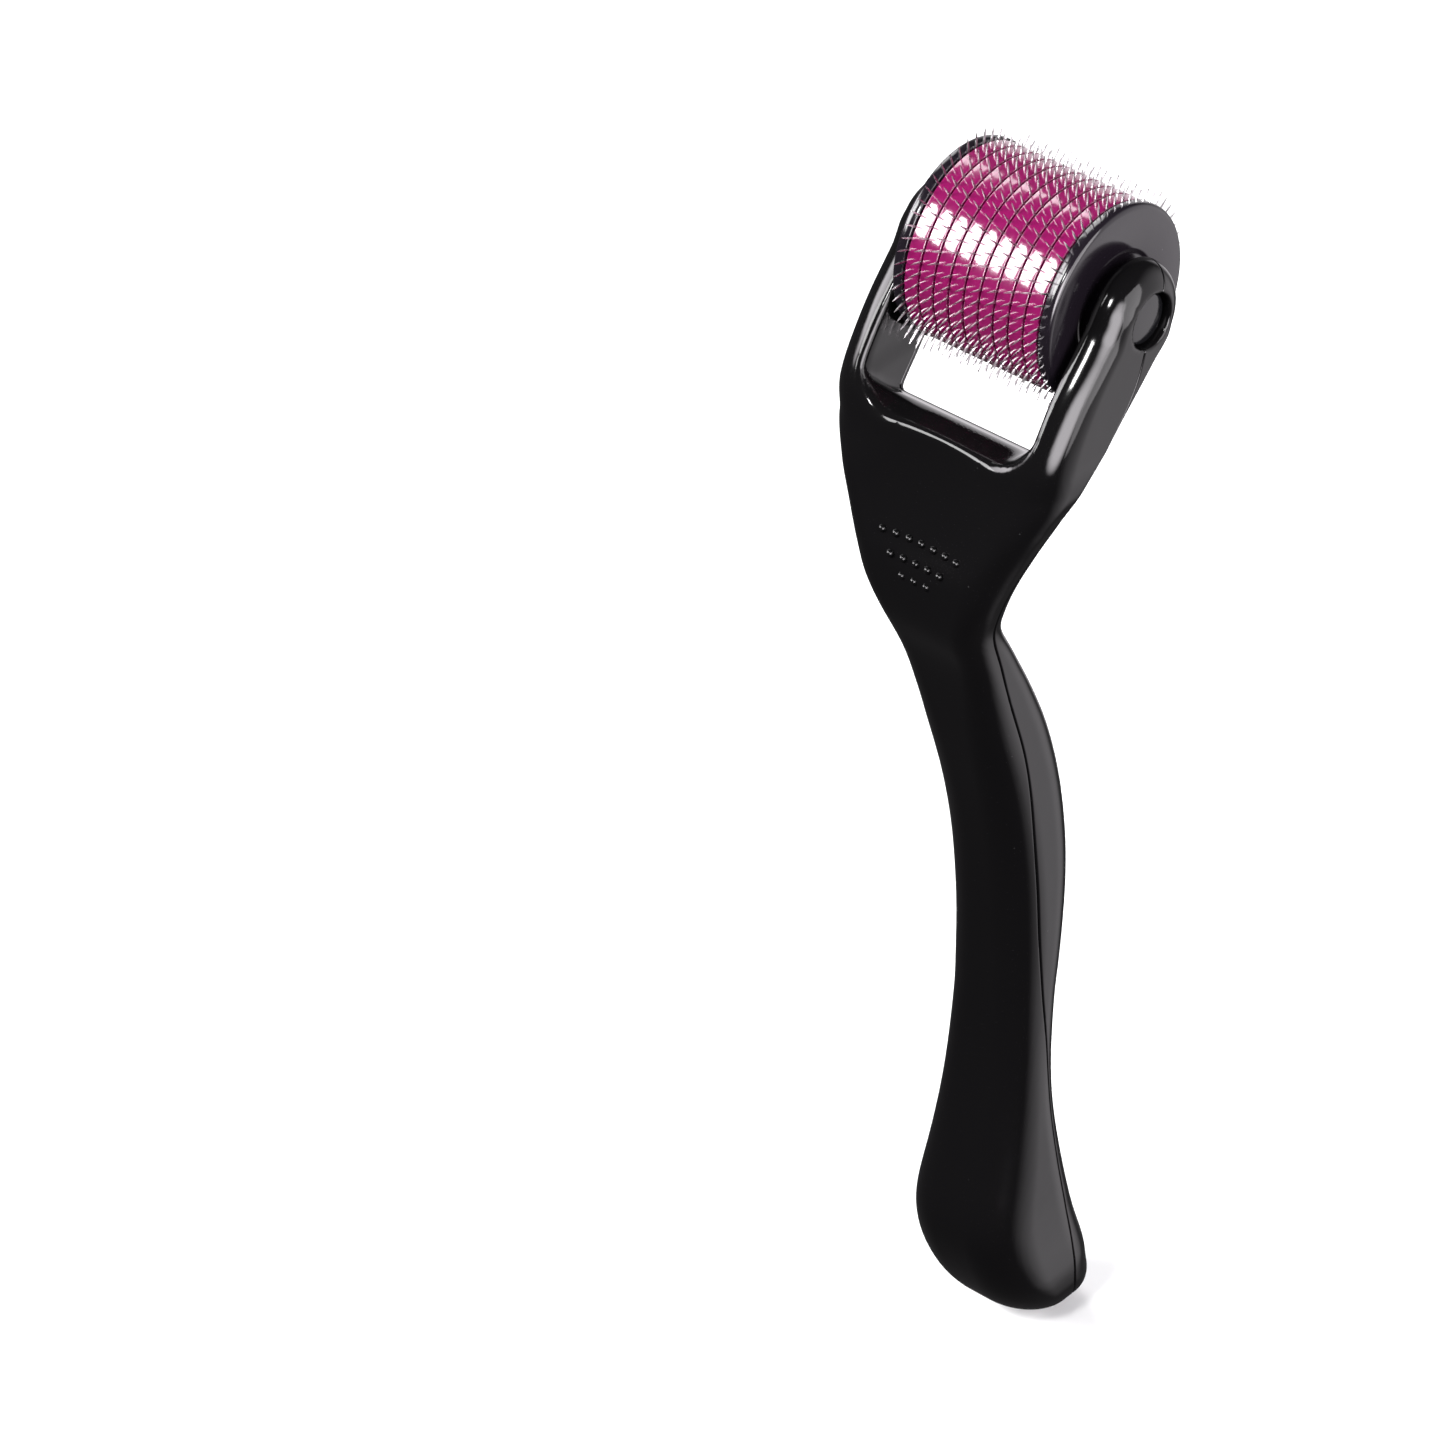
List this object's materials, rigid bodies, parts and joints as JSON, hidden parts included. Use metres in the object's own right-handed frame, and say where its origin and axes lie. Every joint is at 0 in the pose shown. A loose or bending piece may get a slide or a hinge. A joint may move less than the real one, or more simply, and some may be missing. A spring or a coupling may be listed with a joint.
{
  "type": "needle skin roller",
  "caption": "Hand-held skin roller: a bowed two-shell handle with a fork that carries a freely spinning drum of toothed needle discs.",
  "frame": {"origin": "middle of the handle's grip, on the line where the two shells part", "axes": "+Z along the handle towards the fork, +X along the drum's axle, -Y on the thumb side"},
  "size_m": [0.0308, 0.0328, 0.1523],
  "materials": {
    "handle_plastic": "high gloss black",
    "cap_plastic": "gloss black",
    "hub_plastic": "deep magenta",
    "ring_plastic": "glossy tinted magenta",
    "needle_steel": "bright etched steel",
    "axle_steel": "ground steel"
  },
  "bodies": {
    "handle": {"front_shell": "handle_plastic", "back_shell": "handle_plastic", "axle": "axle_steel", "axle_plug_right": "handle_plastic", "axle_plug_left": "handle_plastic"},
    "drum": {"drum_hub": "hub_plastic", "end_cap_right": "cap_plastic", "end_cap_left": "cap_plastic", "needle_disc_01": "needle_steel", "needle_disc_02": "needle_steel", "needle_disc_03": "needle_steel", "needle_disc_04": "needle_steel", "needle_disc_05": "needle_steel", "needle_disc_06": "needle_steel", "needle_disc_07": "needle_steel", "needle_disc_08": "needle_steel", "needle_disc_09": "needle_steel", "needle_disc_10": "needle_steel", "spacer_ring_1": "ring_plastic", "spacer_ring_2": "ring_plastic", "spacer_ring_3": "ring_plastic", "spacer_ring_4": "ring_plastic", "spacer_ring_5": "ring_plastic", "spacer_ring_6": "ring_plastic", "spacer_ring_7": "ring_plastic", "spacer_ring_8": "ring_plastic", "spacer_ring_9": "ring_plastic"}
  },
  "joints": [
    {"name": "drum_spin", "type": "hinge", "parent": "handle", "child": "drum", "pos_m": [0, 0.00368, 0.08414], "axis": [1, 0, 0], "continuous": true}
  ]
}
